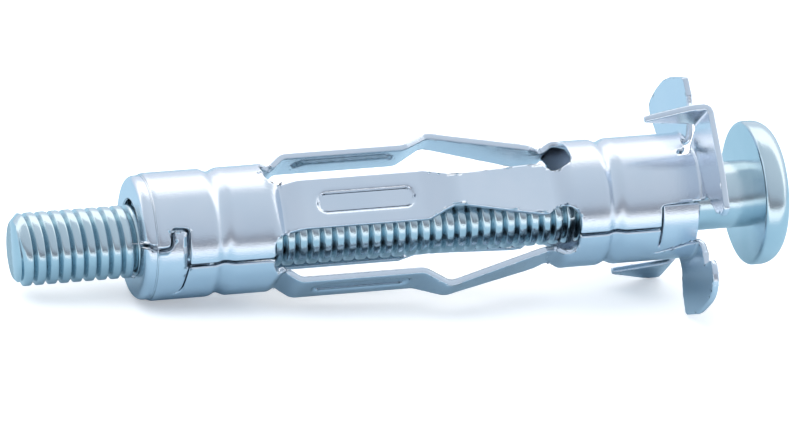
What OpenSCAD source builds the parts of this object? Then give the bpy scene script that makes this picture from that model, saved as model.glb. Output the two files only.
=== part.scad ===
// Hollow wall anchor: a stamped and rolled steel sleeve with a nut held in its far end and a pan
// head machine screw. All lengths are millimetres.
//
// Every piece is drawn along one axis. Depth runs along +Z from the wall face into the wall, so
// the flange seats at depth 0, the head lies at negative depth and the screw tip is deepest.
// Angles turn about that axis. The anchor is then laid down as it comes to rest, on two petals and
// the far collar, with the head towards +X and up along +Z.

/* [Sheet and collars] */
// Thickness of the sleeve's sheet
sheet_t = 0.5; // [0.4:0.05:0.6]
// Outer diameter of the two collars
collar_d = 10.2; // [9.8:0.1:10.8]
// Depth at which the far collar ends
sleeve_depth = 45.5; // [44.5:0.5:50]
// Length of the far collar, from its end to the leg slots
far_collar_len = 10.4; // [10:0.1:11]
// Length of the near collar, from the wall face to the leg slots
near_collar_len = 10.1; // [9.8:0.1:11]
// Depth of the bead in the near collar
near_bead_depth = 7.4; // [7.2:0.1:7.8]
// Distance of the far bead from the far end
far_bead_from_end = 6.7; // [6.6:0.1:7]
// How far the beads are pressed in
bead_press = 0.3; // [0.2:0.05:0.4]
// Width of a bead
bead_w = 1.6; // [1.2:0.1:1.8]
// How far the far rim turns in
rim_turn = 0.7; // [0.4:0.1:0.9]

/* [Legs] */
// Number of legs, petals and slots
legs = 4; // [4:1:4]
// Width of a leg along its flat
leg_w = 4.0; // [3.6:0.1:4.2]
// Width of a leg at the waist beside its knee
waist_w = 2.6; // [2.2:0.1:3]
// Distance from the axis to the outside of the flat
flat_r = 5.35; // [5.2:0.05:5.5]
// Length of the flat between its two end bends
flat_len = 10.2; // [9:0.1:10.8]
// Distance from the axis to the outside of the knee
knee_r = 6.4; // [6:0.1:6.8]
// Length of the step between the knee and the flat
knee_step = 2.1; // [1.6:0.1:2.6]
// Distance from the axis to the outside of the low bend beside the near collar
near_dip_r = 4.25; // [4.1:0.05:4.5]
// Distance from the axis to the outside of the low bend beside the far collar
far_dip_r = 4.4; // [4.2:0.05:4.7]
// Radius of the bends along a leg
bend_r = 0.7; // [0.5:0.1:1]
// Radius of the round ends of the leg slots at the near collar
slot_end_r = 1.55; // [1.3:0.05:1.7]
// Half the distance between the two arcs of such an end
slot_end_spread = 0.75; // [0.5:0.05:0.9]
// Corner radius of the slots at the far collar
slot_corner_r = 1.1; // [0.8:0.1:1.4]

/* [Stiffening grooves] */
// Length of the groove pressed into each flat
groove_len = 8.2; // [6:0.1:8.4]
// Width of the groove
groove_w = 1.9; // [1.4:0.1:2.2]
// Depth of the groove
groove_press = 0.2; // [0.1:0.05:0.3]

/* [Crown] */
// Distance from the axis to the outer edge of a petal
petal_reach = 9.5; // [9:0.1:10]
// Width of a petal
petal_w = 7.8; // [7:0.1:8]
// Width of the neck that joins a petal to the near collar
neck_w = 4.2; // [3.8:0.1:4.6]
// Rounding of each petal's free corner
petal_corner_r = 2.2; // [1.5:0.1:2.6]
// Radius of the bend from the collar into the petals
crown_bend_r = 0.6; // [0.4:0.1:0.8]
// Depth of the gaps between the necks
crown_gap_depth = 3.3; // [2.8:0.1:3.6]
// Length of the two prongs that bite into the wall
prong_len = 5.0; // [4:0.1:5.5]
// Distance from the axis to a prong's point, along its petal
prong_tip_r = 7.2; // [6.6:0.1:7.6]

/* [Seam] */
// Gap of the rolled seam
seam_gap = 0.14; // [0.1:0.02:0.2]
// Angle of the seam about the axis
seam_angle = -3; // [-5:1:0]
// How far the hook reaches across the seam
hook_reach = 2.7; // [2.2:0.1:3]
// Width of the hook's finger
hook_w = 1.1; // [0.9:0.1:1.3]

/* [Nut] */
// Height of the nut
nut_h = 5.2; // [4.8:0.1:5.4]
// Clearance around the nut inside the collar
nut_clear = 0.05; // [0.02:0.01:0.1]

/* [Screw] */
// Thread diameter over the crests
thread_d = 5.9; // [5.8:0.05:6]
// Length under the head
screw_len = 60; // [56:1:70]

// Diameter of the plain shank under the head
shank_d = 6.0; // [5.9:0.05:6.0]

// Length of the plain shank
shank_len = 4.5; // [2:0.5:10]

// Width of the groove where the thread runs out
run_out_w = 0.6; // [0.4:0.1:1.2]

// Depth of that groove
run_out_depth = 0.4; // [0.3:0.05:0.6]
// How far the head stands off the wall face, for the fixture
head_gap = 5.1; // [4:0.5:8]
// Clearance between the thread's crests and the nut's bore
thread_clear = 0.05; // [0.04:0.01:0.1]
// Chamfer at the screw's tip
tip_chamfer = 0.7; // [0.5:0.1:0.9]
// Head diameter
head_d = 12; // [11:0.5:12.5]
// Head height
head_h = 3.6; // [3.2:0.1:4.4]
// Width across the cross recess
recess_w = 6.4; // [5.4:0.2:6.8]
// Depth of the cross recess
recess_depth = 2.5; // [2:0.1:2.8]
// Thickness of the recess's wings
recess_wing = 1.1; // [0.9:0.1:1.3]

/* [Hidden] */

round_fn = 96;
arc_steps = 5;
over = 1;
wall_r = collar_d / 2;
mid_r = wall_r - sheet_t / 2;
bore_r = wall_r - sheet_t;
// The flat legs enter the round collars here, inside the wall
root_r = mid_r + 0.06;
turn = 360 / legs;
first_leg = turn / 2;

// Depths along the sleeve
far_slot_depth = sleeve_depth - far_collar_len;
far_bead_depth = sleeve_depth - far_bead_from_end;
rim_step_depth = sleeve_depth - 1.4;
near_dip_depth = near_collar_len + 1.5;
far_dip_depth = far_slot_depth - 0.8;
flat_end = far_dip_depth - 1.4;
flat_start = flat_end - flat_len;
knee_depth = flat_start - knee_step;
waist_depth = knee_depth - 0.8;
shoulder_depth = near_collar_len + 2.9;
slot_half_w = (mid_r * turn * PI / 180 - leg_w) / 2;

// The nut sits between the far bead and the turned rim
nut_r = bore_r - nut_clear;
nut_far = sleeve_depth - sheet_t - nut_clear;
nut_bore_r = thread_d / 2 + thread_clear;
rim_hole_r = bore_r - rim_turn;

// How the anchor comes to rest: two petal corners and the far collar touch the ground
corner_reach = (petal_reach - 0.35 + petal_w / 2) / sqrt(2);
rest_depth = rim_step_depth;
lay_angle = atan((corner_reach - wall_r) / rest_depth);

// --- Outlines -------------------------------------------------------------------------------

// Unit vector from p to q
function unit(p, q) = (q - p) / norm(q - p);

// Points of a round corner of radius r at b, on the way from a to c
function corner(a, b, c, r) =
    let (
        u = unit(b, a),
        v = unit(b, c),
        half = acos(max(-1, min(1, u * v))) / 2,
        centre = b + (u + v) / norm(u + v) * r / sin(half),
        from = b + u * r / tan(half) - centre,
        to = b + v * r / tan(half) - centre,
        start = atan2(from[1], from[0]),
        swing = atan2(from[0] * to[1] - from[1] * to[0], from * to)
    )
    [for (i = [0 : arc_steps]) centre + r * [
        cos(start + swing * i / arc_steps),
        sin(start + swing * i / arc_steps)
    ]];

// A path through points [x, y, corner radius] with its corners rounded
function rounded_path(pts) = [
    for (i = [0 : len(pts) - 1])
    let (p = [pts[i][0], pts[i][1]])
    each (i == 0 || i == len(pts) - 1 || pts[i][2] == 0) ? [p] : corner(
        [pts[i - 1][0], pts[i - 1][1]], p, [pts[i + 1][0], pts[i + 1][1]], pts[i][2]
    )
];

// A closed outline of points [x, y, corner radius] with its corners rounded
function rounded_outline(pts) = [
    for (i = [0 : len(pts) - 1])
    let (
        n = len(pts),
        a = pts[(i + n - 1) % n],
        b = pts[i],
        c = pts[(i + 1) % n]
    )
    each b[2] == 0
        ? [[b[0], b[1]]]
        : corner([a[0], a[1]], [b[0], b[1]], [c[0], c[1]], b[2])
];

// Direction square to the path at point i, long enough to keep both sides parallel
function miter(path, i) =
    let (
        last = len(path) - 1,
        u = i == 0 ? unit(path[0], path[1]) : unit(path[i - 1], path[i]),
        v = i == last ? u : unit(path[i], path[i + 1]),
        m = [-u[1] - v[1], u[0] + v[0]]
    )
    2 * m / (m * m);

// Outline of a strip of width w along a path
function strip(path, w) = concat(
    [for (i = [0 : len(path) - 1]) path[i] + miter(path, i) * w / 2],
    [for (i = [len(path) - 1 : -1 : 0]) path[i] - miter(path, i) * w / 2]
);

// --- Placing --------------------------------------------------------------------------------

// Lays a piece down as the anchor rests
module laid() {
    rotate([0, -lay_angle, 0]) rotate([90, 0, -90]) children();
}

// Turns children about the axis so that their +X faces the angle
module facing(angle) {
    rotate([0, 0, angle]) children();
}

// Extrudes an outline of [depth, sideways] outwards along the radius, from r0 to r1
module radial_prism(r0, r1) {
    rotate([0, -90, 0]) translate([0, 0, -r1]) linear_extrude(r1 - r0) children();
}

// Extrudes an outline of [radius, depth] sideways, w wide
module leg_prism(w) {
    rotate([90, 0, 0]) linear_extrude(w, center = true) children();
}

// --- Sleeve ---------------------------------------------------------------------------------

// Section of the two collars, as [radius, depth]: the bead pressed in, and the rim turned in
function bead_path(depth) = [
    [mid_r, depth - bead_w / 2, 0.4],
    [mid_r - bead_press, depth, 0.5],
    [mid_r, depth + bead_w / 2, 0.4]
];

function near_wall() = rounded_path(concat(
    [[mid_r, crown_bend_r, 0]],
    bead_path(near_bead_depth),
    [[mid_r, shoulder_depth - 1, 0]]
));

function far_wall() = rounded_path(concat(
    [[mid_r, far_slot_depth - 0.3, 0]],
    bead_path(far_bead_depth),
    [
        [mid_r, rim_step_depth, 0.3],
        [mid_r - 0.1, rim_step_depth + 0.2, 0.3],
        [mid_r - 0.1, sleeve_depth - sheet_t / 2, 0.35],
        [rim_hole_r, sleeve_depth - sheet_t / 2, 0]
    ]
));

module collars() {
    for (wall = [near_wall(), far_wall()]) {
        rotate_extrude($fn = round_fn) polygon(strip(wall, sheet_t));
    }
}

// One opening between two legs, cut through the collars' ends
module slot_cut() {
    radial_prism(over, wall_r + over) {
        for (side = [-1, 1]) {
            translate([near_collar_len + slot_end_r, side * slot_end_spread])
                circle(slot_end_r, $fn = round_fn);
        }
        translate([near_collar_len, -slot_end_spread])
            square([2 * slot_end_r, 2 * slot_end_spread]);
        polygon(rounded_outline([
            [near_collar_len + slot_end_r, -slot_half_w, 0],
            [far_slot_depth, -slot_half_w, slot_corner_r],
            [far_slot_depth, slot_half_w, slot_corner_r],
            [near_collar_len + slot_end_r, slot_half_w, 0]
        ]));
    }
}

// Section along a leg, as [radius, depth]
function leg_path() = rounded_path([
    [root_r, near_collar_len - 1.2, 0],
    [root_r, near_collar_len + 0.1, bend_r],
    [near_dip_r - sheet_t / 2, near_dip_depth, bend_r],
    [knee_r - sheet_t / 2, knee_depth, bend_r * 1.6],
    [flat_r - sheet_t / 2, flat_start, bend_r],
    [flat_r - sheet_t / 2, flat_end, bend_r],
    [far_dip_r - sheet_t / 2, far_dip_depth, bend_r],
    [root_r, far_slot_depth + 0.6, bend_r],
    [root_r, far_slot_depth + 1.6, 0]
]);

// One edge of a leg seen from outside, as [depth, half width]
function leg_edge() = [
    [near_collar_len - 1.5, leg_w / 2 + 0.3],
    [near_collar_len + 0.3, leg_w / 2 - 0.5],
    [near_dip_depth + 0.2, leg_w / 2 - 0.5],
    [shoulder_depth - 0.3, leg_w / 2 + 0.05],
    [shoulder_depth + 0.6, leg_w / 2 + 0.05],
    [waist_depth, waist_w / 2],
    [knee_depth + 0.4, waist_w / 2],
    [flat_start, leg_w / 2],
    [far_dip_depth, leg_w / 2],
    [far_slot_depth, leg_w / 2 + 0.6],
    [far_slot_depth + 2, leg_w / 2 + 0.6]
];

function mirrored(edge) = concat(edge, [for (i = [len(edge) - 1 : -1 : 0]) [edge[i][0], -edge[i][1]]]);

// Outline of a stiffening groove, as [depth, sideways]
module groove_outline(spread) {
    middle = (flat_start + flat_end) / 2 - 0.2;
    for (end = [-1, 1]) {
        translate([middle + end * (groove_len - groove_w) / 2, 0])
            circle(groove_w / 2 + spread, $fn = round_fn);
    }
    square_l = groove_len - groove_w;
    translate([middle - square_l / 2, -groove_w / 2 - spread])
        square([square_l, groove_w + 2 * spread]);
}

module leg() {
    difference() {
        union() {
            intersection() {
                leg_prism(2 * leg_w) polygon(strip(leg_path(), sheet_t));
                radial_prism(0, knee_r + over) polygon(mirrored(leg_edge()));
                leg_envelope();
            }
            radial_prism(flat_r - sheet_t - groove_press, flat_r - sheet_t / 2)
                groove_outline(0.15);
        }
        radial_prism(flat_r - groove_press, flat_r + over) groove_outline(-0.1);
    }
}

// Keeps the flat ends of the legs inside the round collars
module leg_envelope() {
    root_wall_r = wall_r - 0.04;
    rotate_extrude($fn = round_fn) polygon([
        [0, 0],
        [root_wall_r, 0],
        [root_wall_r, near_collar_len + 0.4],
        [knee_r * 1.5, near_collar_len + 0.4],
        [knee_r * 1.5, far_slot_depth - 0.2],
        [root_wall_r, far_slot_depth - 0.2],
        [root_wall_r, sleeve_depth],
        [0, sleeve_depth]
    ]);
}

// Outline of a petal seen along the axis, as [outwards, sideways]; one outer corner is rounded
module petal_outline(round_side) {
    half = petal_w / 2;
    free_r = petal_corner_r;
    polygon(rounded_outline([
        [mid_r - 1, -neck_w / 2, 0],
        [mid_r + 0.6, -neck_w / 2, 0],
        [mid_r + 1.1, -half, 0.3],
        [petal_reach - 0.35, -half, round_side < 0 ? free_r : 0],
        [petal_reach, -half + 2.6, 1.5],
        [petal_reach, half - 2.6, 1.5],
        [petal_reach - 0.35, half, round_side > 0 ? free_r : 0],
        [mid_r + 1.1, half, 0.3],
        [mid_r + 0.6, neck_w / 2, 0],
        [mid_r - 1, neck_w / 2, 0]
    ]));
}

// Bend from the collar into a petal, as wide as its neck
module neck_bend() {
    r = crown_bend_r + sheet_t;
    intersection() {
        rotate_extrude($fn = round_fn) intersection() {
            translate([bore_r + r, r - sheet_t]) difference() {
                circle(r, $fn = round_fn);
                circle(r - sheet_t, $fn = round_fn);
            }
            translate([bore_r, -sheet_t]) square([r, r]);
        }
        translate([0, -neck_w / 2, -sheet_t]) cube([2 * wall_r, neck_w, 3 * sheet_t]);
    }
}

module petal(round_side) {
    neck_bend();
    difference() {
        translate([0, 0, -sheet_t]) linear_extrude(sheet_t) petal_outline(round_side);
        cylinder(4 * sheet_t, r = bore_r + crown_bend_r + sheet_t, center = true, $fn = round_fn);
    }
}

// Prong turned back from a petal's edge, as [outwards, depth]
module prong() {
    half = petal_w / 2;
    translate([0, half, 0]) rotate([90, 0, 0]) linear_extrude(sheet_t) polygon(rounded_outline([
        [mid_r + 1.4, -sheet_t / 2, 0],
        [petal_reach - 0.35, -sheet_t / 2, 0],
        [petal_reach - 0.4, prong_len * 0.25, 2],
        [prong_tip_r + 0.2, prong_len, 0.2],
        [prong_tip_r - 0.3, prong_len * 0.9, 0.3],
        [mid_r + 1.4, prong_len * 0.3, 1]
    ]));
}

// Openings between the necks at the crown end of the near collar
module crown_gaps() {
    neck_half = asin(neck_w / 2 / mid_r);
    for (i = [0 : legs - 1]) {
        facing(first_leg + (i + 0.5) * turn) radial_prism(over, wall_r + over) {
            half = mid_r * sin(turn / 2 - neck_half);
            polygon(i == legs - 1 ? [
                [-over, -half],
                [crown_gap_depth, -half],
                [crown_gap_depth, half],
                [-over, half]
            ] : [
                [-over, -half],
                [crown_gap_depth * 0.4, -half],
                [crown_gap_depth * 0.9, half * 0.5],
                [crown_gap_depth, half],
                [-over, half]
            ]);
        }
    }
}

// Tongue that bridges the seam in the crown gap over it
module seam_tongue() {
    neck_half = asin(neck_w / 2 / mid_r);
    half = mid_r * sin(turn / 2 - neck_half) - seam_gap;
    intersection() {
        rotate_extrude($fn = round_fn) translate([bore_r, 0.2])
            square([sheet_t - 0.05, crown_gap_depth + 0.4]);
        facing(0) radial_prism(over, wall_r + over) polygon([
            [0, -half],
            [crown_gap_depth + 0.4, -half],
            [crown_gap_depth + 0.4, -half * 0.35],
            [crown_gap_depth - seam_gap, -half * 0.35],
            [crown_gap_depth - seam_gap, half],
            [0, half]
        ]);
    }
}

// Line of the seam in each collar, as [depth, sideways]
module seam_cuts() {
    hook_depth = far_bead_depth + 2.1;
    facing(seam_angle) radial_prism(over, wall_r + over) {
        polygon(strip([[crown_gap_depth - over, 0], [near_collar_len + over, 0]], seam_gap));
        polygon(strip([
            [far_slot_depth - over, 0],
            [hook_depth, 0],
            [hook_depth + 0.9, hook_reach],
            [hook_depth + 0.9 + hook_w * 0.7, hook_reach],
            [hook_depth + 1 + hook_w * 0.6, hook_reach - 1],
            [rim_step_depth - 0.3, hook_reach * 0.25],
            [sleeve_depth - 0.6, hook_reach * 0.45],
            [sleeve_depth + over, hook_reach * 0.45]
        ], seam_gap));
        polygon(strip([
            [hook_depth, 0.1],
            [hook_depth + 0.4, -2.4],
            [hook_depth + 1.2, -3.2]
        ], seam_gap));
    }
}

module sleeve() {
    color("lightsteelblue") laid() {
        difference() {
            collars();
            for (i = [0 : legs - 1]) {
                facing(i * turn) slot_cut();
            }
            crown_gaps();
            seam_cuts();
        }
        for (i = [0 : legs - 1]) {
            facing(first_leg + i * turn) {
                leg();
                petal(i % 2 == 0 ? -1 : 1);
            }
        }
        for (i = [0 : 2 : legs - 1]) {
            facing(first_leg + i * turn) prong();
        }
        seam_tongue();
    }
}

// --- Nut ------------------------------------------------------------------------------------

module nut() {
    lead = 0.5;
    color("powderblue") laid() translate([0, 0, nut_far - nut_h])
        rotate_extrude($fn = round_fn) polygon([
            [nut_bore_r + lead, 0],
            [nut_r - lead, 0],
            [nut_r, lead],
            [nut_r, nut_h - lead / 2],
            [nut_r - lead / 2, nut_h],
            [nut_bore_r + lead, nut_h],
            [nut_bore_r, nut_h - lead],
            [nut_bore_r, lead]
        ]);
}

// --- Screw ----------------------------------------------------------------------------------

// Half section of the pan head, as [radius, height above its underside]
function head_section() = rounded_outline([
    [0, 0, 0],
    [head_d / 2, 0, 0.55],
    [head_d / 2, head_h * 0.62, head_h * 0.5],
    [head_d / 4, head_h, head_d * 0.4],
    [0, head_h, 0]
]);

module cross_recess() {
    intersection() {
        cylinder(recess_depth + over, r1 = recess_w / 4, r2 = recess_w / 2 + 0.4, $fn = round_fn);
        for (angle = [0, 90]) {
            rotate([0, 0, angle]) translate([-recess_w, -recess_wing / 2, 0])
                cube([2 * recess_w, recess_wing, recess_depth + 2 * over]);
        }
    }
    cylinder(recess_depth + over, r1 = recess_wing * 0.75, r2 = recess_wing * 1.3, $fn = round_fn);
}

module screw() {
    thread_r = thread_d / 2;
    color("lightskyblue") laid() translate([0, 0, -head_gap]) {
        rotate_extrude($fn = round_fn) polygon([
            [0, -0.1],
            [shank_d / 2, -0.1],
            [shank_d / 2, shank_len],
            [thread_r - run_out_depth, shank_len],
            [thread_r - run_out_depth, shank_len + run_out_w],
            [thread_r, shank_len + run_out_w],
            [thread_r, screw_len - tip_chamfer],
            [thread_r - tip_chamfer, screw_len],
            [0, screw_len]
        ]);
        mirror([0, 0, 1]) difference() {
            rotate_extrude($fn = round_fn) polygon(head_section());
            translate([0, 0, head_h - recess_depth]) rotate([0, 0, turn / 2]) cross_recess();
        }
    }
}

sleeve();
nut();
screw();
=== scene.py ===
"""Hollow wall anchor, dressed: a rolled sheet-metal sleeve, its nut and a pan head machine screw.

The sleeve is drawn flat, as its strip is stamped, then bent leg by leg and rolled about the screw.
Every size is in millimetres in the anchor's own frame, where Z is the depth into the wall, and is
laid down and turned into metres once, when a piece is finished.
"""
import logging
import math
from dataclasses import dataclass, field
from enum import Enum
from typing import List, Sequence, Tuple

import bmesh
import bpy
from mathutils import Matrix, Vector


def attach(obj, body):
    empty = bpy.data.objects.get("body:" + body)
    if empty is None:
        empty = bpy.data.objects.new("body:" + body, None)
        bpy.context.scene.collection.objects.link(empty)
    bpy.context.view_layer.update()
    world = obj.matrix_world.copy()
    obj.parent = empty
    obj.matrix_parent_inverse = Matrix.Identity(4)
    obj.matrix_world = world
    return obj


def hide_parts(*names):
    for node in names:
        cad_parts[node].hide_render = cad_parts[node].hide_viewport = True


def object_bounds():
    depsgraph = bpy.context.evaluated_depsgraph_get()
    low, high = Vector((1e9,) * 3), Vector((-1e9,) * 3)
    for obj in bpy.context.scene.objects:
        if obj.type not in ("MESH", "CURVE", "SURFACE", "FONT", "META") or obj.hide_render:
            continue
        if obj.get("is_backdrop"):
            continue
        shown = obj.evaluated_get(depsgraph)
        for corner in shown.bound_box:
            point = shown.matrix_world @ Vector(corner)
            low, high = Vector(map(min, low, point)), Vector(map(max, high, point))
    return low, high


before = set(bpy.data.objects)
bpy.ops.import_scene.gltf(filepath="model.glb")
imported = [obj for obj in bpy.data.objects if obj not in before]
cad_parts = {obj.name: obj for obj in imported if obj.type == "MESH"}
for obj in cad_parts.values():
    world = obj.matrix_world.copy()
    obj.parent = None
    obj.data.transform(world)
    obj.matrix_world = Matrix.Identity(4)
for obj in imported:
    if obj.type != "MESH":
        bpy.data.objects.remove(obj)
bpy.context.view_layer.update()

Point = Tuple[float, float]
Colour = Tuple[float, float, float, float]
log = logging.getLogger("anchor")

HEADWARD = Vector((0.995648129, 0.0, 0.093192292))
# The loose nut and screw hang this low in the sleeve, in the anchor's own frame
SLACK = Vector((0.0, -0.26, 0.0))
MM = 0.001
TURN = math.tau
LEGS = 4
# Half of each leg's share of the turn, in degrees
HALF_SHARE = 45.0
LATHE_STEPS = 96
BEVEL_SEGMENTS = 2


def lay_matrix() -> Matrix:
    """Matrix from the anchor's own frame, in millimetres, to the frame of the row, in metres."""
    depth_axis = -HEADWARD
    front = Vector((0.0, -1.0, 0.0))
    upward = depth_axis.cross(front)
    turned = Matrix((front, upward, depth_axis)).transposed().to_4x4()
    return turned @ Matrix.Scale(MM, 4)


# --- Small mathematics ---------------------------------------------------------------------


def smoothstep(low: float, high: float, value: float) -> float:
    """Smooth rise from 0 at low to 1 at high."""
    x = min(max((value - low) / (high - low), 0.0), 1.0)
    return x * x * (3.0 - 2.0 * x)


@dataclass(frozen=True)
class Bent:
    """A line of straight runs with rounded corners, as a height over a distance."""

    knots: Tuple[Tuple[float, float, float], ...]

    def __call__(self, x: float) -> float:
        """Height at x.

        Args:
            x: Distance along the line.

        Returns:
            The height of the straight runs, rounded within each knot's reach.
        """
        ks = self.knots
        if x <= ks[0][0]:
            return ks[0][1]
        if x >= ks[-1][0]:
            return ks[-1][1]
        value = ks[-1][1]
        slopes = [(b[1] - a[1]) / (b[0] - a[0]) for a, b in zip(ks, ks[1:])]
        for a, b, slope in zip(ks, ks[1:], slopes):
            if a[0] <= x <= b[0]:
                value = a[1] + slope * (x - a[0])
                break
        for k, before, after in zip(ks[1:-1], slopes, slopes[1:]):
            away = abs(x - k[0])
            if away < k[2]:
                value += (after - before) * (k[2] - away) ** 2 / (4.0 * k[2])
        return value


def arc_corner(a: Point, b: Point, c: Point, radius: float, steps: int = 5) -> List[Point]:
    """Points of a rounded corner at b between a and c.

    Args:
        a: Point before the corner.
        b: The corner.
        c: Point after the corner.
        radius: Radius of the arc.
        steps: Number of pieces of the arc.

    Returns:
        The points of the arc, in order.
    """
    u = (Vector(a) - Vector(b)).normalized()
    v = (Vector(c) - Vector(b)).normalized()
    half = math.acos(max(-1.0, min(1.0, u.dot(v)))) / 2.0
    centre = Vector(b) + (u + v).normalized() * (radius / math.sin(half))
    start = Vector(b) + u * (radius / math.tan(half)) - centre
    end = Vector(b) + v * (radius / math.tan(half)) - centre
    swing = math.atan2(start.x * end.y - start.y * end.x, start.dot(end))
    first = math.atan2(start.y, start.x)
    return [
        (centre.x + radius * math.cos(first + swing * i / steps),
         centre.y + radius * math.sin(first + swing * i / steps))
        for i in range(steps + 1)
    ]


def offset_line(points: Sequence[Point], distance: float) -> List[Point]:
    """Open line moved sideways, to its left for a positive distance."""
    out: List[Point] = []
    last = len(points) - 1
    for i, p in enumerate(points):
        u = (Vector(p) - Vector(points[i - 1])).normalized() if i else None
        v = (Vector(points[i + 1]) - Vector(p)).normalized() if i < last else None
        u = u or v
        v = v or u
        m = Vector((-u.y - v.y, u.x + v.x))
        m *= 2.0 * distance / m.length_squared
        out.append((p[0] + m.x, p[1] + m.y))
    return out


def frange(start: float, stop: float, step: float) -> List[float]:
    """Numbers from start up to stop, evenly spaced by about step."""
    count = max(1, round((stop - start) / step))
    return [start + (stop - start) * i / count for i in range(count)]


# --- Finishes --------------------------------------------------------------------------------


class Tone(Enum):
    """Plating tones, as linear colours."""

    SHEET = (0.72, 0.785, 0.865, 1.0)
    TURNED = (0.66, 0.76, 0.83, 1.0)
    WIRE = (0.56, 0.68, 0.735, 1.0)


class PlatingGroup:
    """Shader node group for bright plated steel: cloudy tone, grain, and its height."""

    NAME = "plated_steel"

    def __init__(self) -> None:
        """Builds the group once."""
        tree = bpy.data.node_groups.new(self.NAME, "ShaderNodeTree")
        face = tree.interface
        for label, kind, value in (
            ("Tone", "NodeSocketColor", (0.7, 0.8, 0.86, 1.0)),
            ("Bloom", "NodeSocketColor", (0.8, 0.82, 0.9, 1.0)),
            ("Cloud scale", "NodeSocketFloat", 300.0),
            ("Grain scale", "NodeSocketFloat", 6000.0),
            ("Roughness", "NodeSocketFloat", 0.25),
            ("Dulling", "NodeSocketFloat", 0.12),
        ):
            socket = face.new_socket(name=label, in_out="INPUT", socket_type=kind)
            socket.default_value = value
        for label, kind in (
            ("Colour", "NodeSocketColor"),
            ("Roughness", "NodeSocketFloat"),
            ("Height", "NodeSocketFloat"),
        ):
            face.new_socket(name=label, in_out="OUTPUT", socket_type=kind)
        self.tree = tree
        self._wire(tree)

    @staticmethod
    def _wire(tree: bpy.types.NodeTree) -> None:
        """Lays the nodes of the group and joins them."""
        nodes, links = tree.nodes, tree.links
        enter = nodes.new("NodeGroupInput")
        leave = nodes.new("NodeGroupOutput")
        where = nodes.new("ShaderNodeTexCoord")

        cloud = nodes.new("ShaderNodeTexNoise")
        cloud.inputs["Detail"].default_value = 3.0
        links.new(where.outputs["Object"], cloud.inputs["Vector"])
        links.new(enter.outputs["Cloud scale"], cloud.inputs["Scale"])

        grain = nodes.new("ShaderNodeTexNoise")
        grain.inputs["Detail"].default_value = 4.0
        grain.inputs["Roughness"].default_value = 0.65
        links.new(where.outputs["Object"], grain.inputs["Vector"])
        links.new(enter.outputs["Grain scale"], grain.inputs["Scale"])

        soft = nodes.new("ShaderNodeMapRange")
        soft.inputs["From Min"].default_value = 0.35
        soft.inputs["From Max"].default_value = 0.65
        links.new(cloud.outputs["Fac"], soft.inputs["Value"])

        blend = nodes.new("ShaderNodeMix")
        blend.data_type = "RGBA"
        links.new(soft.outputs["Result"], blend.inputs["Factor"])
        links.new(enter.outputs["Tone"], blend.inputs["A"])
        links.new(enter.outputs["Bloom"], blend.inputs["B"])
        links.new(blend.outputs["Result"], leave.inputs["Colour"])

        dull = nodes.new("ShaderNodeMath")
        dull.operation = "MULTIPLY_ADD"
        links.new(soft.outputs["Result"], dull.inputs[0])
        links.new(enter.outputs["Dulling"], dull.inputs[1])
        links.new(enter.outputs["Roughness"], dull.inputs[2])
        links.new(dull.outputs["Value"], leave.inputs["Roughness"])

        height = nodes.new("ShaderNodeMath")
        height.operation = "MULTIPLY_ADD"
        height.inputs[1].default_value = 0.35
        links.new(cloud.outputs["Fac"], height.inputs[0])
        links.new(grain.outputs["Fac"], height.inputs[2])
        links.new(height.outputs["Value"], leave.inputs["Height"])


@dataclass(frozen=True)
class Plating:
    """Blue-white zinc plating over one kind of surface."""

    name: str
    tone: Tone
    bloom: Colour
    roughness: float
    dulling: float
    cloud_scale: float
    grain_scale: float
    grain_height: float

    def material(self, group: PlatingGroup) -> bpy.types.Material:
        """Material of this plating.

        Args:
            group: The shared node group.

        Returns:
            A new material.
        """
        made = bpy.data.materials.new(self.name)
        made.use_nodes = True
        nodes, links = made.node_tree.nodes, made.node_tree.links
        shader = nodes["Principled BSDF"]
        shader.inputs["Metallic"].default_value = 1.0
        plated = nodes.new("ShaderNodeGroup")
        plated.node_tree = group.tree
        plated.inputs["Tone"].default_value = self.tone.value
        plated.inputs["Bloom"].default_value = self.bloom
        plated.inputs["Cloud scale"].default_value = self.cloud_scale
        plated.inputs["Grain scale"].default_value = self.grain_scale
        plated.inputs["Roughness"].default_value = self.roughness
        plated.inputs["Dulling"].default_value = self.dulling
        bump = nodes.new("ShaderNodeBump")
        bump.inputs["Strength"].default_value = 1.0
        bump.inputs["Distance"].default_value = self.grain_height
        links.new(plated.outputs["Colour"], shader.inputs["Base Color"])
        links.new(plated.outputs["Roughness"], shader.inputs["Roughness"])
        links.new(plated.outputs["Height"], bump.inputs["Height"])
        links.new(bump.outputs["Normal"], shader.inputs["Normal"])
        return made


# --- Pieces ----------------------------------------------------------------------------------


def finish_piece(
    name: str,
    bm: bmesh.types.BMesh,
    material: bpy.types.Material,
    body: str,
    node: str,
) -> bpy.types.Object:
    """Lays a finished mesh down, links it and joins it to its body.

    Args:
        name: Name of the piece.
        bm: Its mesh, in millimetres in the anchor's own frame; it is freed.
        material: Its material.
        body: The body that it rides on.
        node: The node that it stands for.

    Returns:
        The piece.
    """
    bm.transform(lay_matrix())
    mesh = bpy.data.meshes.new(name)
    bm.to_mesh(mesh)
    bm.free()
    mesh.materials.append(material)
    piece = bpy.data.objects.new(name, mesh)
    bpy.context.scene.collection.objects.link(piece)
    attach(piece, body)
    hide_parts(node)
    log.info("%s: %d faces", name, len(mesh.polygons))
    return piece


def smooth_faces(bm: bmesh.types.BMesh) -> None:
    """Shades every face smoothly."""
    for face in bm.faces:
        face.smooth = True


def pour(part: bmesh.types.BMesh, whole: bmesh.types.BMesh) -> None:
    """Adds a part's mesh to the whole, and frees the part."""
    scratch = bpy.data.meshes.new("scratch")
    part.to_mesh(scratch)
    part.free()
    whole.from_mesh(scratch)
    bpy.data.meshes.remove(scratch)


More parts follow.
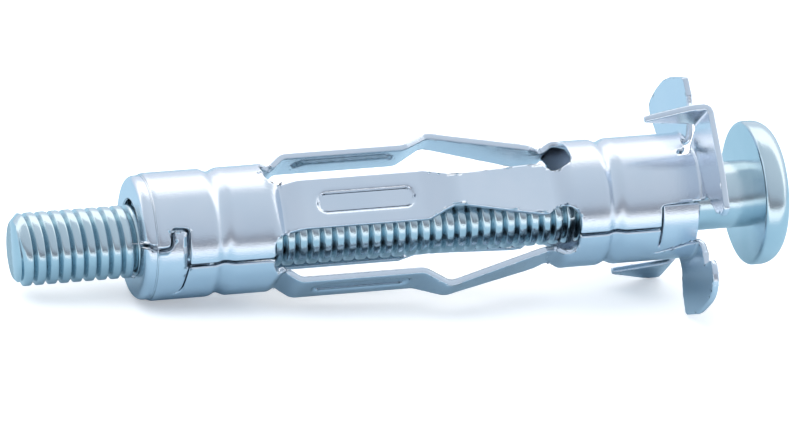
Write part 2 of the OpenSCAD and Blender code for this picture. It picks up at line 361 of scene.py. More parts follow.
def soften_edges(piece: bpy.types.Object, width: float, degrees: float) -> None:
    """Bevels the piece's edges that are sharper than the angle.

    Args:
        piece: The piece.
        width: Width of the bevel, in millimetres.
        degrees: The angle.
    """
    edge = piece.modifiers.new("edges", "BEVEL")
    edge.width = width * MM
    edge.segments = BEVEL_SEGMENTS
    edge.limit_method = "ANGLE"
    edge.angle_limit = math.radians(degrees)
    edge.use_clamp_overlap = False


def lathe(profile: Sequence[Point]) -> bmesh.types.BMesh:
    """Closed solid of revolution about Z.

    Args:
        profile: Points (radius, height) round the section, or from the axis to the axis.

    Returns:
        The mesh, with its poles closed and its faces outwards.
    """
    bm = bmesh.new()
    verts = [bm.verts.new((r, 0.0, z)) for r, z in profile]
    edges = [bm.edges.new(pair) for pair in zip(verts, verts[1:])]
    bmesh.ops.spin(bm, geom=verts + edges, cent=(0, 0, 0), axis=(0, 0, 1),
                   dvec=(0, 0, 0), angle=TURN, steps=LATHE_STEPS, use_merge=True)
    bmesh.ops.remove_doubles(bm, verts=bm.verts[:], dist=1e-4)
    bmesh.ops.recalc_face_normals(bm, faces=bm.faces[:])
    smooth_faces(bm)
    return bm


def mark_creases(bm: bmesh.types.BMesh, degrees: float) -> None:
    """Marks edges sharper than the angle, for shading."""
    limit = math.radians(degrees)
    for edge in bm.edges:
        if len(edge.link_faces) == 2:
            edge.smooth = edge.calc_face_angle(0.0) < limit


@dataclass
class Sleeve:
    """Sleeve of one stamped strip, bent into legs and petals and rolled into a tube."""

    sheet: float = 0.5
    mid_r: float = 4.77
    length: float = 45.5
    seam_angle: float = -3.0
    seam_gap: float = 0.26
    near_end: float = 10.1
    far_start: float = 35.1
    near_bead: float = 7.1
    far_bead: float = 39.1
    bead_press: float = 0.36
    bead_half: float = 0.78
    rim_step: float = 44.35
    rim_drop: float = 0.15
    rim_radius: float = 0.32
    rim_turn: float = 1.27
    crown_bend: float = 0.5
    crown_start: float = 0.25
    petal_reach: float = 9.5
    petal_half: float = 3.9
    high_prong: float = 4.45
    prong_radius: float = 0.5
    lean: float = 0.07
    groove_middle: float = 27.6
    groove_len: float = 8.2
    groove_w: float = 1.9
    groove_press: float = 0.22
    bevel: float = 0.095
    flattens: Point = (10.2, 11.6)
    rounds_again: Point = (34.2, 35.4)
    fold_reach: float = 5.6
    neck_blend: float = 1.1
    leg_half: float = 2.0
    waist_half: float = 1.32
    shoulder_half: float = 2.08
    mouth_radius: float = 1.5
    mouth_spread: float = 0.75
    foot_radius: float = 1.1
    hole_radius: float = 0.27

    def __post_init__(self) -> None:
        """Works out the lines of bending."""
        m = self.mid_r
        b, h = self.bead_press, self.bead_half
        self.collar_line = Bent((
            (0.0, m, 0.0),
            (self.near_bead - h, m, 0.1), (self.near_bead, m - b, 0.42),
            (self.near_bead + h, m, 0.1),
            (self.far_bead - h, m, 0.1), (self.far_bead, m - b, 0.42),
            (self.far_bead + h, m, 0.1),
            (self.rim_step - 0.09, m, 0.05), (self.rim_step + 0.09, m - self.rim_drop, 0.05),
            (60.0, m - self.rim_drop, 0.0),
        ))
        s = self.sheet / 2.0
        self.leg_line = Bent((
            (9.0, m, 0.0), (10.35, m, 0.55), (11.6, 4.2 - s, 0.6),
            (20.7, 6.42 - s, 0.45), (22.9, 5.35 - s, 0.3), (32.9, 5.35 - s, 0.32),
            (34.2, 4.3 - s, 0.32), (35.5, m, 0.4), (37.0, m, 0.0),
        ))
        self.rim_corner = self.length - s - self.rim_radius
        self.strip_end = self.rim_corner + self.rim_radius * math.pi / 2 + self.rim_turn
        self.bend_length = self.crown_bend * math.pi / 2
        self.sector_low = -math.radians(HALF_SHARE - self.seam_angle) * m
        self.sector_high = math.radians(HALF_SHARE + self.seam_angle) * m

    # Lines on the flat strip: w runs round the sleeve from the middle of a leg, t runs along it.

    def at_reach(self, reach: float) -> float:
        """Place along the strip of a point on a petal, from its distance to the axis."""
        return self.crown_start - self.bend_length - (reach - self.mid_r - self.crown_bend)

    def prong_line(self, leg: int) -> float:
        """Place across the strip where the bend into a prong starts."""
        half = self.high_prong if leg == 0 else self.petal_half
        return half - self.sheet / 2 - self.prong_radius

    def at_prong(self, leg: int, depth: float) -> float:
        """Place across the strip of a point on a prong, from its depth."""
        straight = depth + self.sheet / 2 - self.prong_radius
        return self.prong_line(leg) + self.prong_radius * math.pi / 2 + straight

    def groove(self, w: float, t: float) -> float:
        """Depth of a leg's groove at a place on the strip."""
        half = (self.groove_len - self.groove_w) / 2
        along = max(0.0, abs(t - self.groove_middle) - half)
        inside = self.groove_w / 2 - math.hypot(along, w)
        return self.groove_press * smoothstep(-0.14, 0.16, inside)

    def place(self, w: float, t: float, leg: int) -> Vector:
        """Bends and rolls one point of the flat strip.

        Args:
            w: Distance round the sleeve from the middle of the leg.
            t: Distance along the strip, which is the depth on the collars and legs.
            leg: Number of the leg, counted round from the seam.

        Returns:
            The point on the middle of the sheet.
        """
        roll = w / self.mid_r
        if t < self.crown_start:
            point = self._petal_point(w, t, leg)
        elif t > self.rim_corner:
            point = self._rim_point(roll, t)
        else:
            flat = smoothstep(*self.flattens, t) * (1.0 - smoothstep(*self.rounds_again, t))
            r = self.collar_line(t)
            round_part = Vector((r * math.cos(roll), r * math.sin(roll), t))
            flat_part = Vector((self.leg_line(t) - self.groove(w, t), w, t))
            point = round_part.lerp(flat_part, flat)
        turned = math.radians(HALF_SHARE + 2.0 * HALF_SHARE * leg)
        return Matrix.Rotation(turned, 3, "Z") @ point

    def _petal_point(self, w: float, t: float, leg: int) -> Vector:
        """Point of the bend at the crown, of a petal or of its prong."""
        along = self.crown_start - t
        if along < self.bend_length:
            turned = along / self.crown_bend
            reach = self.mid_r + self.crown_bend * (1.0 - math.cos(turned))
            depth = self.crown_start - self.crown_bend * math.sin(turned)
        else:
            reach = self.mid_r + self.crown_bend + along - self.bend_length
            depth = -self.sheet / 2
        side = w
        start = self.prong_line(leg)
        if leg % 2 == 0 and w > start and t < self.at_reach(self.fold_reach):
            over = w - start
            turned = min(over / self.prong_radius, math.pi / 2)
            side = start + self.prong_radius * math.sin(turned)
            depth += self.prong_radius * (1.0 - math.cos(turned))
            depth += max(0.0, over - self.prong_radius * math.pi / 2)
        if leg == 1:
            depth += self.lean * max(0.0, reach - self.mid_r - self.crown_bend)
        roll = w / self.mid_r
        round_part = Vector((reach * math.cos(roll), reach * math.sin(roll), depth))
        flat_part = Vector((reach, side, depth))
        return round_part.lerp(flat_part, smoothstep(0.0, self.neck_blend, along))

    def _rim_point(self, roll: float, t: float) -> Vector:
        """Point of the rim turned in over the nut."""
        r = self.collar_line(self.rim_corner)
        turned = min((t - self.rim_corner) / self.rim_radius, math.pi / 2)
        r -= self.rim_radius * (1.0 - math.cos(turned))
        r -= max(0.0, t - self.rim_corner - self.rim_radius * math.pi / 2)
        depth = self.rim_corner + self.rim_radius * math.sin(turned)
        return Vector((r * math.cos(roll), r * math.sin(roll), depth))

    # Outlines of the stamped strip

    def hook_line(self) -> List[Point]:
        """Line of the hooked seam on the far collar, as (t, distance towards the next leg)."""
        hook = arc_corner((42.05, 0.0), (42.05, 2.8), (42.6, 2.92), 0.3, 4)
        crest = arc_corner((42.5, 2.9), (43.25, 2.92), (43.42, 2.0), 0.22, 4)
        foot = arc_corner((43.3, 2.6), (43.45, 1.5), (44.4, 1.42), 0.42, 4)
        heel = arc_corner((43.7, 1.45), (44.5, 1.42), (45.1, 1.8), 0.4, 4)
        return ([(self.far_start, 0.0), (41.75, 0.0), (42.05, 0.0)] + hook + crest + foot + heel
                + [(45.1, 1.8), (self.strip_end, 1.8)])

    def seam_edge(self, side: float) -> List[Point]:
        """Edge of the strip along the far collar's seam.

        Args:
            side: -1 for the edge below the seam, 1 for the one above it.

        Returns:
            Points (w, t) from the leg towards the rim.
        """
        base = self.sector_high if side < 0 else self.sector_low
        line = offset_line(self.hook_line(), side * self.seam_gap / 2)
        line[0] = (self.far_start, line[0][1])
        line[-1] = (self.strip_end, line[-1][1])
        return [(base + y, t) for t, y in line]

    @staticmethod
    def beside_seam(leg: int, side: float) -> bool:
        """Whether this side of a leg's share of the strip is an edge of the seam."""
        return (leg == LEGS - 1 and side > 0) or (leg == 0 and side < 0)

    def bound(self, leg: int, side: float) -> float:
        """Side of a leg's share of the strip, short of the seam by half its gap."""
        place = self.sector_high if side > 0 else self.sector_low
        return place - side * self.seam_gap / 2 if self.beside_seam(leg, side) else place

    def leg_edge(self, leg: int, side: float) -> List[Point]:
        """Edge of a leg and of the slot ends beside it.

        Args:
            leg: Number of the leg.
            side: 1 for the edge at +w, -1 for the edge at -w.

        Returns:
            Points (w, t) from the far collar to the near one.
        """
        gap = math.radians(HALF_SHARE) * self.mid_r
        flat, waist_w, wide = self.leg_half, self.waist_half, self.shoulder_half
        bound = abs(self.bound(leg, side))
        foot = arc_corner((gap, self.far_start), (flat, self.far_start), (flat, 33.0),
                          self.foot_radius)
        mouth_r = self.mouth_radius
        mouth_t = self.near_end + mouth_r
        mouth_w = gap - self.mouth_spread
        mouth = [
            (mouth_w - mouth_r * math.cos(a), mouth_t - mouth_r * math.sin(a))
            for a in frange(0.0, math.pi / 2 + 0.001, math.pi / 16)
        ]
        waist = (
            arc_corner((flat, 30.0), (flat, 22.7), (waist_w, 21.0), 0.6, 3)
            + arc_corner((flat, 22.7), (waist_w, 20.9), (waist_w, 19.0), 0.6, 3)
            + arc_corner((waist_w, 21.0), (waist_w, 19.9), (wide, 13.4), 1.2, 3)
            + arc_corner((waist_w, 19.9), (wide, 13.5), (wide, 12.0), 0.5, 3)
            + arc_corner((wide, 13.5), (wide, 12.75), (1.45, 11.9), 0.3, 3)
        )
        line = [(bound, self.far_start)] + foot + waist + [(1.5, 11.9)] + mouth
        line += [(mouth_w, self.near_end), (bound, self.near_end)]
        return [(side * w, t) for w, t in line]

    def crown_edge(self, leg: int, side: float) -> List[Point]:
        """Edge of the strip between the collar and a petal's neck.

        Args:
            leg: Number of the leg.
            side: 1 for the edge at +w, -1 for the edge at -w.

        Returns:
            Points (w, t) from the collar to the neck.
        """
        depth = 3.42
        if self.beside_seam(leg, side) and side > 0:
            bridge = [(self.bound(leg, side), depth), (1.75, depth), (1.7, 3.3), (1.8, 3.28)]
            tongue = [(5.35, 3.28)] + arc_corner((5.35, 3.0), (5.38, 0.3), (5.0, 0.3), 0.2, 3)
            slit = [(2.15, 0.3), (0.98, 3.46), (0.86, 3.5), (0.84, 3.4), (1.7, 0.95), (1.75, 0.4)]
            return bridge + tongue + slit
        if self.beside_seam(leg, side):
            return [(self.bound(leg, side), depth), (-2.3, depth), (-2.12, 3.2), (-2.0, 0.5)]
        if leg == 1 and side > 0:
            return [(self.sector_high, 2.42), (3.5, 1.6), (3.05, 1.0), (2.9, 0.5)]
        if leg == 3 and side < 0:
            return [(self.sector_low, 2.42), (-3.8, 1.9), (-3.7, 1.0), (-3.4, 0.5)]
        if leg == 0:
            hole = self._relief_hole((2.1, 1.15), -55, 235, 36)
            return [(self.sector_high, 0.62), (2.6, 0.62)] + hole + [(1.95, 0.62), (2.0, 0.5)]
        if leg == 1:
            return [(self.sector_low, 0.62), (-3.95, 0.45)]
        if side > 0:
            hole = self._relief_hole((1.98, 1.35), 70, -170, -30)
            return [(self.sector_high, 2.42), (3.1, 2.05)] + hole + [(1.9, 1.0), (2.0, 0.5)]
        return [(self.sector_low, 2.42), (-3.45, 2.85), (-3.0, 3.15), (-2.5, 3.3),
                (-2.1, 3.0), (-2.0, 0.5)]

    def _relief_hole(self, centre: Point, first: float, last: float, step: float) -> List[Point]:
        """Arc of the small hole where a neck meets the collar, between angles in degrees."""
        r = self.hole_radius
        return [
            (centre[0] + r * math.cos(a), centre[1] + r * math.sin(a))
            for a in frange(math.radians(first), math.radians(last), math.radians(step))
        ]

    def petal_edge(self, leg: int) -> List[Point]:
        """Edge of a petal from its neck at +w round to its neck at -w."""
        half, tip = self.petal_half, self.at_reach(self.petal_reach)
        shoulder, low = self.at_reach(5.75), self.at_reach(6.15)
        out = self.at_reach(self.petal_reach - 0.35)
        if leg % 2 == 0:
            start = self.prong_line(leg)
            right = [(2.35, 0.3), (3.35, self.at_reach(5.15)),
                     (start, self.at_reach(self.fold_reach))]
            right += [(self.at_prong(leg, 0.5), self.at_reach(5.9))]
            right += arc_corner(
                (self.at_prong(leg, 0.8), self.at_reach(6.0)),
                (self.at_prong(leg, 5.0), self.at_reach(7.15)),
                (self.at_prong(leg, 2.3), self.at_reach(8.75)), 0.25, 4)
            right += [(self.at_prong(leg, 2.3), self.at_reach(8.75)),
                      (self.at_prong(leg, 1.5), self.at_reach(9.2)),
                      (self.at_prong(leg, 0.8), self.at_reach(9.42)), (start, tip + 0.06)]
        elif leg == 1:
            right = [(2.95, shoulder + 0.2), (3.3, self.at_reach(6.0)), (3.75, self.at_reach(6.6))]
            right += arc_corner((3.9, self.at_reach(7.0)), (4.1, out), (half - 2.6, tip), 1.1)
        else:
            right = [(2.3, shoulder + 0.1), (2.2, self.at_reach(6.6)), (half - 0.3, low - 0.55)]
            right += arc_corner((half, -1.0), (half, out), (half - 2.6, tip), 2.2)
        rim = [(1.3, tip), (0.0, tip - 0.03), (-0.9 if leg == 1 else -1.3, tip)]
        if leg == 0:
            left = arc_corner((-1.3, tip), (-4.35, self.at_reach(9.15)),
                              (-4.55, self.at_reach(8.3)), 0.5)
            left += [(-4.55, self.at_reach(8.2)), (-3.9, self.at_reach(7.0)),
                     (-2.6, self.at_reach(6.0)), (-2.05, shoulder + 0.2)]
        elif leg == 2:
            left = arc_corner((-half + 2.6, tip), (-half, out), (-half, -1.0), 2.2)
            left += self._neck_jog(-half, low, shoulder)
        elif leg == 1:
            left = [(-2.4, self.at_reach(9.2)), (-5.25, self.at_reach(8.15)),
                    (-5.45, self.at_reach(8.0)), (-5.3, self.at_reach(6.6)),
                    (-4.8, self.at_reach(5.8)), (-4.15, self.at_reach(5.45))]
        else:
            left = [(-2.2, self.at_reach(9.35)), (-4.2, self.at_reach(8.75)),
                    (-4.5, self.at_reach(8.5)), (-4.3, self.at_reach(7.0)),
                    (-3.9, self.at_reach(5.9)), (-3.5, self.at_reach(5.4))]
        return right + rim + left

    @staticmethod
    def _neck_jog(side: float, low: float, shoulder: float) -> List[Point]:
        """Points where a petal's edge steps in to its neck."""
        return [(side, low - 0.1), (side + 0.3, low + 0.05), (-2.3, shoulder),
                (-2.03, shoulder + 0.2)]

    def outline(self, leg: int) -> List[Point]:
        """Outline of one leg with its share of the collars, its petal and its prong."""
        right = self.seam_edge(-1)[::-1] if leg == 3 else [
            (self.sector_high, self.strip_end)]
        left = self.seam_edge(1) if leg == 0 else [(self.sector_low, self.strip_end)]
        if leg == 3:
            right = right[:-1]
            slit = self.lower_slit()
            at = next(i for i, (_, t) in enumerate(right) if t < 42.0)
            right = right[:at] + slit + right[at:]
        points = right + self.leg_edge(leg, 1) + self.crown_edge(leg, 1) + self.petal_edge(leg)
        points += self.crown_edge(leg, -1)[::-1] + self.leg_edge(leg, -1)[::-1]
        points += left[1:] if leg == 0 else left
        return points

    def lower_slit(self) -> List[Point]:
        """Slit that parts the hook's spring from the collar below the seam."""
        base = self.sector_high - self.seam_gap / 2
        line = [(base, 42.05), (base - 0.9, 42.2), (base - 2.0, 42.34), (base - 2.5, 42.5),
                (base - 2.85, 42.9)]
        outer = offset_line(line, 0.06)
        inner = offset_line(line, -0.06)
        return inner + outer[::-1] if inner[1][1] > outer[1][1] else outer + inner[::-1]

    def cuts(self) -> Tuple[List[float], List[float]]:
        """Lines across and along the strip that the mesh follows."""
        along: List[float] = []
        for start, stop, step in (
            (-4.6, -1.0, 0.3), (-1.0, 0.9, 0.12), (0.9, 6.1, 0.3), (6.1, 8.2, 0.1),
            (8.2, 10.0, 0.3), (10.0, 12.8, 0.16), (12.8, 19.8, 0.5), (19.8, 23.3, 0.16),
            (23.3, 24.6, 0.12), (24.6, 30.6, 0.5), (30.6, 31.9, 0.12), (31.9, 36.0, 0.16),
            (36.0, 38.1, 0.3), (38.1, 40.1, 0.1), (40.1, 44.1, 0.3), (44.1, 46.9, 0.09),
        ):
            along += frange(start, stop, step)
        step = math.radians(3.0) * self.mid_r
        across = [k * step for k in range(-24, 36)]
        return across, along

    def sector(self, leg: int) -> bmesh.types.BMesh:
        """Mesh of one leg's share of the strip, bent and rolled."""
        bm = bmesh.new()
        verts = [bm.verts.new((w, t, 0.0)) for w, t in self.outline(leg)]
        bm.faces.new(verts)
        bmesh.ops.remove_doubles(bm, verts=bm.verts[:], dist=0.01)
        across, along = self.cuts()
        self._slice(bm, bm.faces[:], 1, along)
        self._slice(bm, bm.faces[:], 0, across)
        fine = sorted(
            s * self.groove_w / 2 + d for s in (-1, 1) for d in (-0.15, -0.05, 0.05, 0.15))
        zone = [f for f in bm.faces
                if 22.8 < f.calc_center_median().y < 32.4 and abs(f.calc_center_median().x) < 2.0]
        self._slice(bm, zone, 0, fine)
        bmesh.ops.remove_doubles(bm, verts=bm.verts[:], dist=0.02)
        wide = [f for f in bm.faces if len(f.verts) > 4]
        bmesh.ops.triangulate(bm, faces=wide)
        for vert in bm.verts:
            vert.co = self.place(vert.co.x, vert.co.y, leg)
        return bm

    @staticmethod
    def _slice(
        bm: bmesh.types.BMesh,
        faces: List[bmesh.types.BMFace],
        axis: int,
        places: Sequence[float],
    ) -> None:
        """Cuts faces of the flat strip along parallel lines, from the lowest place up.

        Args:
            bm: Mesh of the flat strip.
            faces: The faces to cut.
            axis: 0 to cut at places across the strip, 1 at places along it.
            places: Places of the lines, in rising order.
        """
        normal = Vector((1.0 - axis, float(axis), 0.0))
        rest = faces
        for place in places:
            edges = {e for f in rest for e in f.edges}
            verts = {v for f in rest for v in f.verts}
            done = bmesh.ops.bisect_plane(
                bm, geom=rest + list(edges) + list(verts), dist=1e-4,
                plane_co=normal * place, plane_no=normal)
            rest = [f for f in done["geom"] if isinstance(f, bmesh.types.BMFace)
                    and max(v.co[axis] for v in f.verts) > place + 1e-3]

    def build(self, material: bpy.types.Material) -> bpy.types.Object:
        """Makes the sleeve as one sheet with its thickness and its softened edges."""
        whole = bmesh.new()
        for leg in range(LEGS):
            pour(self.sector(leg), whole)
        bmesh.ops.remove_doubles(whole, verts=whole.verts[:], dist=0.004)
        bmesh.ops.recalc_face_normals(whole, faces=whole.faces[:])
        probe = min(whole.faces, key=lambda f: abs(f.calc_center_median().z - 5.0))
        spot = probe.calc_center_median()
        if probe.normal.x * spot.x + probe.normal.y * spot.y < 0.0:
            bmesh.ops.reverse_faces(whole, faces=whole.faces[:])
        smooth_faces(whole)
        piece = finish_piece("sleeve_sheet", whole, material, "anchor_sleeve", "sleeve")
        wall = piece.modifiers.new("thickness", "SOLIDIFY")
        wall.thickness = self.sheet * MM
        wall.offset = 0.0
        wall.use_even_offset = False
        wall.use_quality_normals = True
        soften_edges(piece, self.bevel, 50.0)
        shade = piece.modifiers.new("shading", "WEIGHTED_NORMAL")
        shade.keep_sharp = True
        return piece


@dataclass
class Nut:
    """Round nut held in the far collar."""

    radius: float = 4.22
    bore: float = 2.92
    far: float = 44.95
    height: float = 5.2
    lead: float = 0.45

    def build(self, material: bpy.types.Material) -> bpy.types.Object:
        """Turns the nut from its section."""
        low, c = self.far - self.height, self.lead
        section = [
            (self.bore + c, low), (self.radius - c, low), (self.radius, low + c),
            (self.radius, self.far - c / 2), (self.radius - c / 2, self.far),
            (self.bore + c, self.far), (self.bore, self.far - c), (self.bore, low + c),
            (self.bore + c, low),
        ]
        bm = lathe(section)
        mark_creases(bm, 25.0)
        bmesh.ops.translate(bm, verts=bm.verts[:], vec=SLACK)
        return finish_piece("nut_round", bm, material, "anchor_sleeve", "nut")


@dataclass
class Screw:
    """Pan head machine screw with a rolled thread."""

    pitch: float = 1.0
    crest_r: float = 2.86
    root_r: float = 2.3
    shank_r: float = 2.68
    under_head: float = -5.1
    length: float = 60.0
    shank_len: float = 4.3
    run_out: float = 1.2
    chamfer: float = 0.56
    tip_zone: float = 1.2
    core_r: float = 1.2
    steps: int = 56
    head_r: float = 5.78
    head_h: float = 2.9
    recess_depth: float = 2.1
    recess_half: float = 3.1
    wing: float = 1.1

    def thread_section(self) -> List[Point]:
        """One pitch of the thread, as (radius, height)."""
        c, r, p = self.crest_r, self.root_r, self.pitch
        return [
            (r, 0.0), (r + 0.22, 0.08 * p), (c - 0.1, 0.17 * p), (c - 0.02, 0.23 * p),
            (c, 0.32 * p), (c, 0.68 * p), (c - 0.02, 0.77 * p), (c - 0.1, 0.83 * p),
            (r + 0.22, 0.92 * p), (r, p),
        ]

    def shaft(self) -> bmesh.types.BMesh:
        """Threaded shaft with its plain shank, its run-out and its chamfered tip."""
        tip = self.under_head + self.length
        start = self.under_head - 1.2
        doublings = math.ceil(math.log2((tip + 1.5 - start) / self.pitch))
        bm = bmesh.new()
        verts = [bm.verts.new((r, 0.0, start + z)) for r, z in self.thread_section()]
        edges = [bm.edges.new(pair) for pair in zip(verts, verts[1:])]
        bmesh.ops.spin(bm, geom=verts + edges, cent=(0, 0, 0), axis=(0, 0, 1),
                       dvec=(0, 0, self.pitch / self.steps), angle=TURN, steps=self.steps)
        for times in range(doublings):
            copy = bmesh.ops.duplicate(bm, geom=bm.verts[:] + bm.edges[:] + bm.faces[:])
            moved = [v for v in copy["geom"] if isinstance(v, bmesh.types.BMVert)]
            bmesh.ops.translate(bm, verts=moved, vec=(0, 0, self.pitch * 2 ** times))
        bmesh.ops.remove_doubles(bm, verts=bm.verts[:], dist=0.003)
        end = self.under_head + self.shank_len
        for vert in bm.verts:
            r = math.hypot(vert.co.x, vert.co.y)
            plain = 1.0 - smoothstep(end, end + self.run_out, vert.co.z)
            wanted = r + (self.shank_r - r) * plain
            if vert.co.z > tip - self.tip_zone:
                cone = self.crest_r - self.chamfer + (tip - vert.co.z) + 0.02
                wanted = min(wanted, cone)
            wanted = max(wanted, self.core_r)
            vert.co.x *= wanted / r
            vert.co.y *= wanted / r
        for z, sign in ((tip, 1.0), (self.under_head - 0.1, -1.0)):
            geom = bm.verts[:] + bm.edges[:] + bm.faces[:]
            cut = bmesh.ops.bisect_plane(bm, geom=geom, dist=1e-5, plane_co=(0, 0, z),
                                         plane_no=(0, 0, sign), clear_outer=True)
            rim = [e for e in cut["geom_cut"] if isinstance(e, bmesh.types.BMEdge)]
            bmesh.ops.edgeloop_fill(bm, edges=rim)
        bmesh.ops.recalc_face_normals(bm, faces=bm.faces[:])
        smooth_faces(bm)
        mark_creases(bm, 50.0)
        return bm

    def head(self) -> bmesh.types.BMesh:
        """Pan head, before its recess is cut."""
        z, r, h = self.under_head, self.head_r, self.head_h
        side = arc_corner((5.0, 0.0), (r, 0.0), (r, 1.2), 0.34, 5)
        crown = arc_corner((r, 0.4), (r, 1.95), (2.6, h), 1.4, 10)
        top = arc_corner((r, 1.95), (2.8, h), (0.0, h), 4.0, 6)
        section = [(0.0, 0.0)] + side + crown + top + [(0.0, h)]
        bm = lathe([(x, z - y) for x, y in section])
        mark_creases(bm, 60.0)
        return bm

    def recess(self) -> bmesh.types.BMesh:
        """Tool that cuts the cross recess."""
        top = self.under_head - self.head_h - 0.4
        deep = self.under_head - self.head_h + self.recess_depth
        bm = bmesh.new()
        for angle in (0.0, math.pi / 2):
            bar = bmesh.new()
            bmesh.ops.create_cube(bar, size=1.0)
            for vert in bar.verts:
                below = vert.co.z > 0.0
                reach = self.recess_half * (0.42 if below else 1.0)
                vert.co.x *= 2.0 * reach
                vert.co.y *= self.wing * (0.8 if below else 1.1)
                vert.co.z = deep if below else top
            bmesh.ops.rotate(bar, verts=bar.verts[:], cent=(0, 0, 0),
                             matrix=Matrix.Rotation(angle + math.pi / 4, 3, "Z"))
            pour(bar, bm)
        return bm

    def build(self, material: bpy.types.Material) -> List[bpy.types.Object]:
        """Makes the screw: its shaft, and its head with the recess cut into it."""
        parts = [self.shaft(), self.head(), self.recess()]
        for bm in parts:
            bmesh.ops.translate(bm, verts=bm.verts[:], vec=SLACK)
        shaft = finish_piece("screw_shaft", parts[0], material, "anchor_screw", "screw")
        head = finish_piece("screw_head", parts[1], material, "anchor_screw", "screw")
        tool_mesh = bpy.data.meshes.new("recess_tool")
        tool_bm = parts[2]
        tool_bm.transform(lay_matrix())
        tool_bm.to_mesh(tool_mesh)
        tool_bm.free()
        tool = bpy.data.objects.new("recess_tool", tool_mesh)
        bpy.context.scene.collection.objects.link(tool)
        cut = head.modifiers.new("recess", "BOOLEAN")
        cut.object = tool
        cut.solver = "EXACT"
        cut.use_self = True
        bpy.context.view_layer.update()
        seen = head.evaluated_get(bpy.context.evaluated_depsgraph_get())
        carved = bpy.data.meshes.new_from_object(seen)
        head.modifiers.clear()
        plain = head.data
        head.data = carved
        bpy.data.meshes.remove(plain)
        bpy.data.objects.remove(tool)
        soften_edges(head, 0.08, 45.0)
        return [shaft, head]


# --- Studio ----------------------------------------------------------------------------------


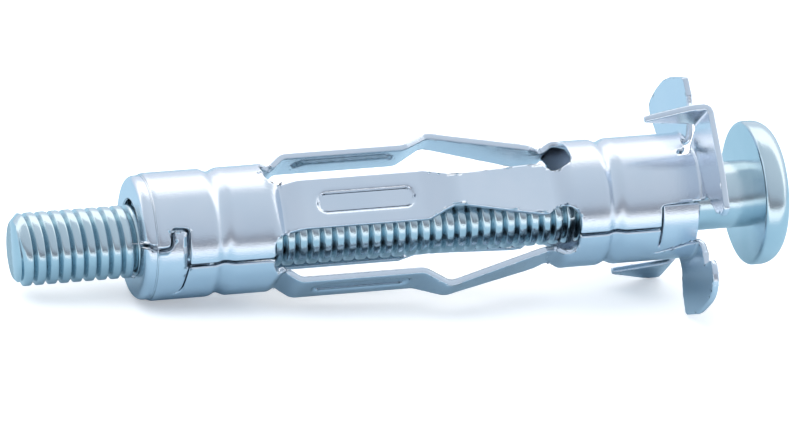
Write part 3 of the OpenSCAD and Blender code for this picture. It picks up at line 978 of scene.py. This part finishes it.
@dataclass
class Studio:
    """Pale floor, soft lights, the surroundings and the camera."""

    azimuth: float = -20.34
    elevation: float = 24.76
    roll: float = 9.34
    distance: float = 520.7
    focal: float = 296.9
    aim: Tuple[float, float, float] = (-23.43, 0.0, -2.46)
    skirt: Colour = (0.30, 0.31, 0.35, 1.0)
    sky: Colour = (0.84, 0.90, 1.0, 1.0)
    paper: Colour = (0.97, 0.97, 0.97, 1.0)
    # Painted shade: blue-grey floor colour from just in front of the anchor backwards, seen only
    # by reflected rays, standing in for the shaded floor that the metal's lower faces reflect
    painted_shade_beneath: Colour = (0.38, 0.53, 0.62, 1.0)
    paper_glow: float = 0.32
    # Y places, in metres, over which the floor fades from white to the painted shade
    painted_shade_edge: Tuple[float, float] = (-0.045, -0.025)
    bands: Tuple[Tuple[float, Colour], ...] = (
        (9.0, (0.30, 0.31, 0.35, 1.0)), (26.0, (0.56, 0.63, 0.72, 1.0)),
        (106.0, (0.70, 0.79, 0.88, 1.0)), (113.0, (1.5, 1.5, 1.5, 1.0)),
        (146.0, (1.5, 1.5, 1.5, 1.0)), (158.0, (0.84, 0.90, 1.0, 1.0)),
    )

    def camera(self) -> None:
        """Sets the camera at the anchor's usual view."""
        a, e = math.radians(self.azimuth), math.radians(self.elevation)
        back = Vector((math.sin(a) * math.cos(e), -math.cos(a) * math.cos(e), math.sin(e)))
        data = bpy.data.cameras.new("camera")
        data.sensor_width = 36.0
        data.lens = self.focal
        data.clip_start, data.clip_end = 0.01, 20.0
        cam = bpy.data.objects.new("camera", data)
        look = (-back).to_track_quat("-Z", "Y").to_matrix()
        turned = look @ Matrix.Rotation(math.radians(self.roll), 3, "Z")
        place = turned.to_4x4()
        place.translation = (Vector(self.aim) + back * self.distance) * MM
        cam.matrix_world = place
        bpy.context.scene.collection.objects.link(cam)
        bpy.context.scene.camera = cam

    def floor(self) -> bpy.types.Object:
        """Wide pale floor under the anchor, with painted shade under and behind it that only
        reflected rays see.
        """
        low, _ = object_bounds()
        bm = bmesh.new()
        bmesh.ops.create_grid(bm, x_segments=1, y_segments=1, size=1.5)
        bmesh.ops.translate(bm, verts=bm.verts[:], vec=(0.0, 0.0, low.z))
        mesh = bpy.data.meshes.new("floor")
        bm.to_mesh(mesh)
        bm.free()
        made = bpy.data.materials.new("floor_pale")
        made.use_nodes = True
        nodes, links = made.node_tree.nodes, made.node_tree.links
        shader = nodes["Principled BSDF"]
        path = nodes.new("ShaderNodeLightPath")
        pick = nodes.new("ShaderNodeMix")
        pick.data_type = "RGBA"
        where = nodes.new("ShaderNodeTexCoord")
        part = nodes.new("ShaderNodeSeparateXYZ")
        links.new(where.outputs["Object"], part.inputs[0])
        # Painted shade on the floor: white in front of the anchor, blue-grey under and behind it,
        # for reflected rays only; camera rays see the even pale floor
        near = nodes.new("ShaderNodeMapRange")
        near.inputs["From Min"].default_value = self.painted_shade_edge[0]
        near.inputs["From Max"].default_value = self.painted_shade_edge[1]
        links.new(part.outputs["Y"], near.inputs["Value"])
        sheet = nodes.new("ShaderNodeMix")
        sheet.data_type = "RGBA"
        sheet.inputs["A"].default_value = self.paper
        sheet.inputs["B"].default_value = self.painted_shade_beneath
        links.new(near.outputs["Result"], sheet.inputs["Factor"])
        links.new(sheet.outputs["Result"], pick.inputs["A"])
        pick.inputs["B"].default_value = self.paper
        links.new(path.outputs["Is Camera Ray"], pick.inputs["Factor"])
        links.new(pick.outputs["Result"], shader.inputs["Base Color"])
        lift = nodes.new("ShaderNodeMath")
        lift.operation = "MULTIPLY"
        lift.inputs[1].default_value = self.paper_glow
        links.new(path.outputs["Is Camera Ray"], lift.inputs[0])
        links.new(lift.outputs["Value"], shader.inputs["Emission Strength"])
        shader.inputs["Emission Color"].default_value = (1.0, 1.0, 1.0, 1.0)
        shader.inputs["Roughness"].default_value = 0.9
        mesh.materials.append(made)
        floor = bpy.data.objects.new("floor", mesh)
        bpy.context.scene.collection.objects.link(floor)
        floor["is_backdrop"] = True
        return floor

    def surroundings(self) -> None:
        """Grey and pale blue from the viewer's side up to overhead, bright white beyond."""
        world = bpy.data.worlds.new("studio")
        bpy.context.scene.world = world
        world.use_nodes = True
        nodes, links = world.node_tree.nodes, world.node_tree.links
        back = nodes["Background"]
        where = nodes.new("ShaderNodeTexCoord")
        a = math.radians(self.azimuth)
        toward = nodes.new("ShaderNodeVectorMath")
        toward.operation = "DOT_PRODUCT"
        toward.inputs[1].default_value = (math.sin(a), -math.cos(a), 0.0)
        links.new(where.outputs["Generated"], toward.inputs[0])
        part = nodes.new("ShaderNodeSeparateXYZ")
        links.new(where.outputs["Generated"], part.inputs[0])
        angle = nodes.new("ShaderNodeMath")
        angle.operation = "ARCTAN2"
        links.new(part.outputs["Z"], angle.inputs[0])
        links.new(toward.outputs["Value"], angle.inputs[1])
        share = nodes.new("ShaderNodeMath")
        share.operation = "DIVIDE"
        share.use_clamp = True
        share.inputs[1].default_value = math.pi
        links.new(angle.outputs["Value"], share.inputs[0])
        ramp = nodes.new("ShaderNodeValToRGB")
        stops = ramp.color_ramp.elements
        stops[0].position, stops[0].color = 0.0, self.skirt
        stops[1].position, stops[1].color = 1.0, self.sky
        for degrees, colour in self.bands:
            stops.new(degrees / 180.0).color = colour
        links.new(share.outputs["Value"], ramp.inputs["Fac"])
        path = nodes.new("ShaderNodeLightPath")
        pick = nodes.new("ShaderNodeMix")
        pick.data_type = "RGBA"
        pick.inputs["B"].default_value = (1.0, 1.0, 1.0, 1.0)
        links.new(path.outputs["Is Camera Ray"], pick.inputs["Factor"])
        links.new(ramp.outputs["Color"], pick.inputs["A"])
        links.new(pick.outputs["Result"], back.inputs["Color"])
        back.inputs["Strength"].default_value = 1.0

    def light(self, name: str, place: Tuple[float, float, float], size: float,
              power: float) -> None:
        """Soft square lamp that faces the anchor."""
        data = bpy.data.lights.new(name, "AREA")
        data.shape = "SQUARE"
        data.size = size
        data.energy = power
        lamp = bpy.data.objects.new(name, data)
        spot = Vector(place)
        lamp.location = spot
        lamp.visible_glossy = False
        lamp.rotation_mode = "QUATERNION"
        lamp.rotation_quaternion = (-spot).to_track_quat("-Z", "Y")
        bpy.context.scene.collection.objects.link(lamp)

    def build(self) -> None:
        """Sets the whole studio."""
        self.floor()
        self.surroundings()
        self.light("key", (-0.35, -0.25, 0.6), 0.5, 3.0)
        self.light("fill", (0.5, 0.3, 0.5), 0.6, 2.0)
        self.camera()
        bpy.context.scene.view_settings.view_transform = "Standard"


# --- The anchor ------------------------------------------------------------------------------


@dataclass
class Anchor:
    """The whole anchor: its pieces and their finishes."""

    sleeve: Sleeve = field(default_factory=Sleeve)
    nut: Nut = field(default_factory=Nut)
    screw: Screw = field(default_factory=Screw)

    def build(self) -> None:
        """Makes every piece and dresses it."""
        group = PlatingGroup()
        sheet = Plating("zinc_sheet", Tone.SHEET, (0.76, 0.81, 0.88, 1.0), 0.1, 0.06,
                        260.0, 8000.0, 1.5e-5)
        turned = Plating("zinc_turned", Tone.TURNED, (0.70, 0.79, 0.86, 1.0), 0.13, 0.06,
                         320.0, 7000.0, 8e-6)
        wire = Plating("zinc_wire", Tone.WIRE, (0.63, 0.74, 0.79, 1.0), 0.12, 0.06,
                       320.0, 7000.0, 8e-6)
        self.sleeve.build(sheet.material(group))
        self.nut.build(turned.material(group))
        self.screw.build(wire.material(group))


def main() -> None:
    """Builds the anchor and its studio."""
    logging.basicConfig(level=logging.INFO, format="%(name)s %(message)s")
    Anchor().build()
    Studio().build()


if __name__ == "__main__":
    main()
